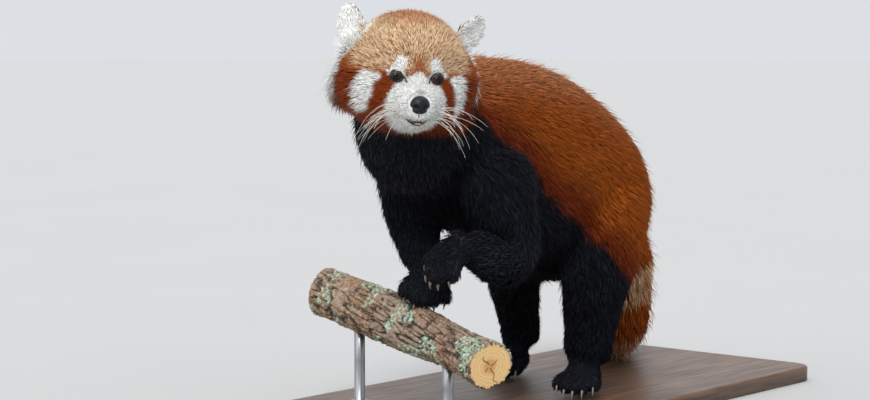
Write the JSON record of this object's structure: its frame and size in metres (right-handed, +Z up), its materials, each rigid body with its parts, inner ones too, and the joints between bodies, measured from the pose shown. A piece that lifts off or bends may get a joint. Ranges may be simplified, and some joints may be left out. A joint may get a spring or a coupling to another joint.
{
  "type": "red panda",
  "caption": "Adult red panda in mid step as a still life-size museum model, a forepaw on a short cut branch, on a flat wooden stand",
  "frame": {"origin": "centre of the underside of the stand's base, on the surface that it rests on", "axes": "+Z is up, -Y is the way the body faces, +X is the animal's left side"},
  "size_m": [0.32, 0.717, 0.4629],
  "materials": {
    "rust_coat": "long dense rust-orange coat",
    "black_coat": "long dense black coat",
    "head_coat": "soft buff coat with white and rusty marks",
    "ear_coat": "soft white hair with rusty backs",
    "tail_coat": "bushy coat with rusty and buff rings",
    "eye": "wet dark brown",
    "nose_skin": "moist black pebbled skin",
    "claw_horn": "pale horn",
    "bark": "furrowed bark with lichen, sawn ends",
    "base_wood": "satin dark wood",
    "rod_steel": "satin"
  },
  "bodies": {
    "root": {"torso": "rust_coat", "neck": "black_coat", "head": "head_coat", "eye_left": "eye", "eye_right": "eye", "ear_left": "ear_coat", "ear_right": "ear_coat", "nose": "nose_skin", "foreleg_right_upper": "black_coat", "foreleg_right_lower": "black_coat", "foreleg_right_foot": "black_coat", "foreleg_right_claw_1": "claw_horn", "foreleg_right_claw_2": "claw_horn", "foreleg_right_claw_3": "claw_horn", "foreleg_right_claw_4": "claw_horn", "foreleg_right_claw_5": "claw_horn", "foreleg_left_upper": "black_coat", "foreleg_left_lower": "black_coat", "foreleg_left_foot": "black_coat", "foreleg_left_claw_1": "claw_horn", "foreleg_left_claw_2": "claw_horn", "foreleg_left_claw_3": "claw_horn", "foreleg_left_claw_4": "claw_horn", "foreleg_left_claw_5": "claw_horn", "hindleg_right_upper": "rust_coat", "hindleg_right_lower": "black_coat", "hindleg_right_foot": "black_coat", "hindleg_right_claw_1": "claw_horn", "hindleg_right_claw_2": "claw_horn", "hindleg_right_claw_3": "claw_horn", "hindleg_right_claw_4": "claw_horn", "hindleg_right_claw_5": "claw_horn", "hindleg_left_upper": "rust_coat", "hindleg_left_lower": "black_coat", "hindleg_left_foot": "black_coat", "hindleg_left_claw_1": "claw_horn", "hindleg_left_claw_2": "claw_horn", "hindleg_left_claw_3": "claw_horn", "hindleg_left_claw_4": "claw_horn", "hindleg_left_claw_5": "claw_horn", "tail_1": "tail_coat", "tail_2": "tail_coat", "tail_3": "tail_coat", "tail_4": "tail_coat", "perch_branch": "bark", "stand_base": "base_wood", "stand_rod_1": "rod_steel", "stand_rod_2": "rod_steel"}
  },
  "joints": []
}
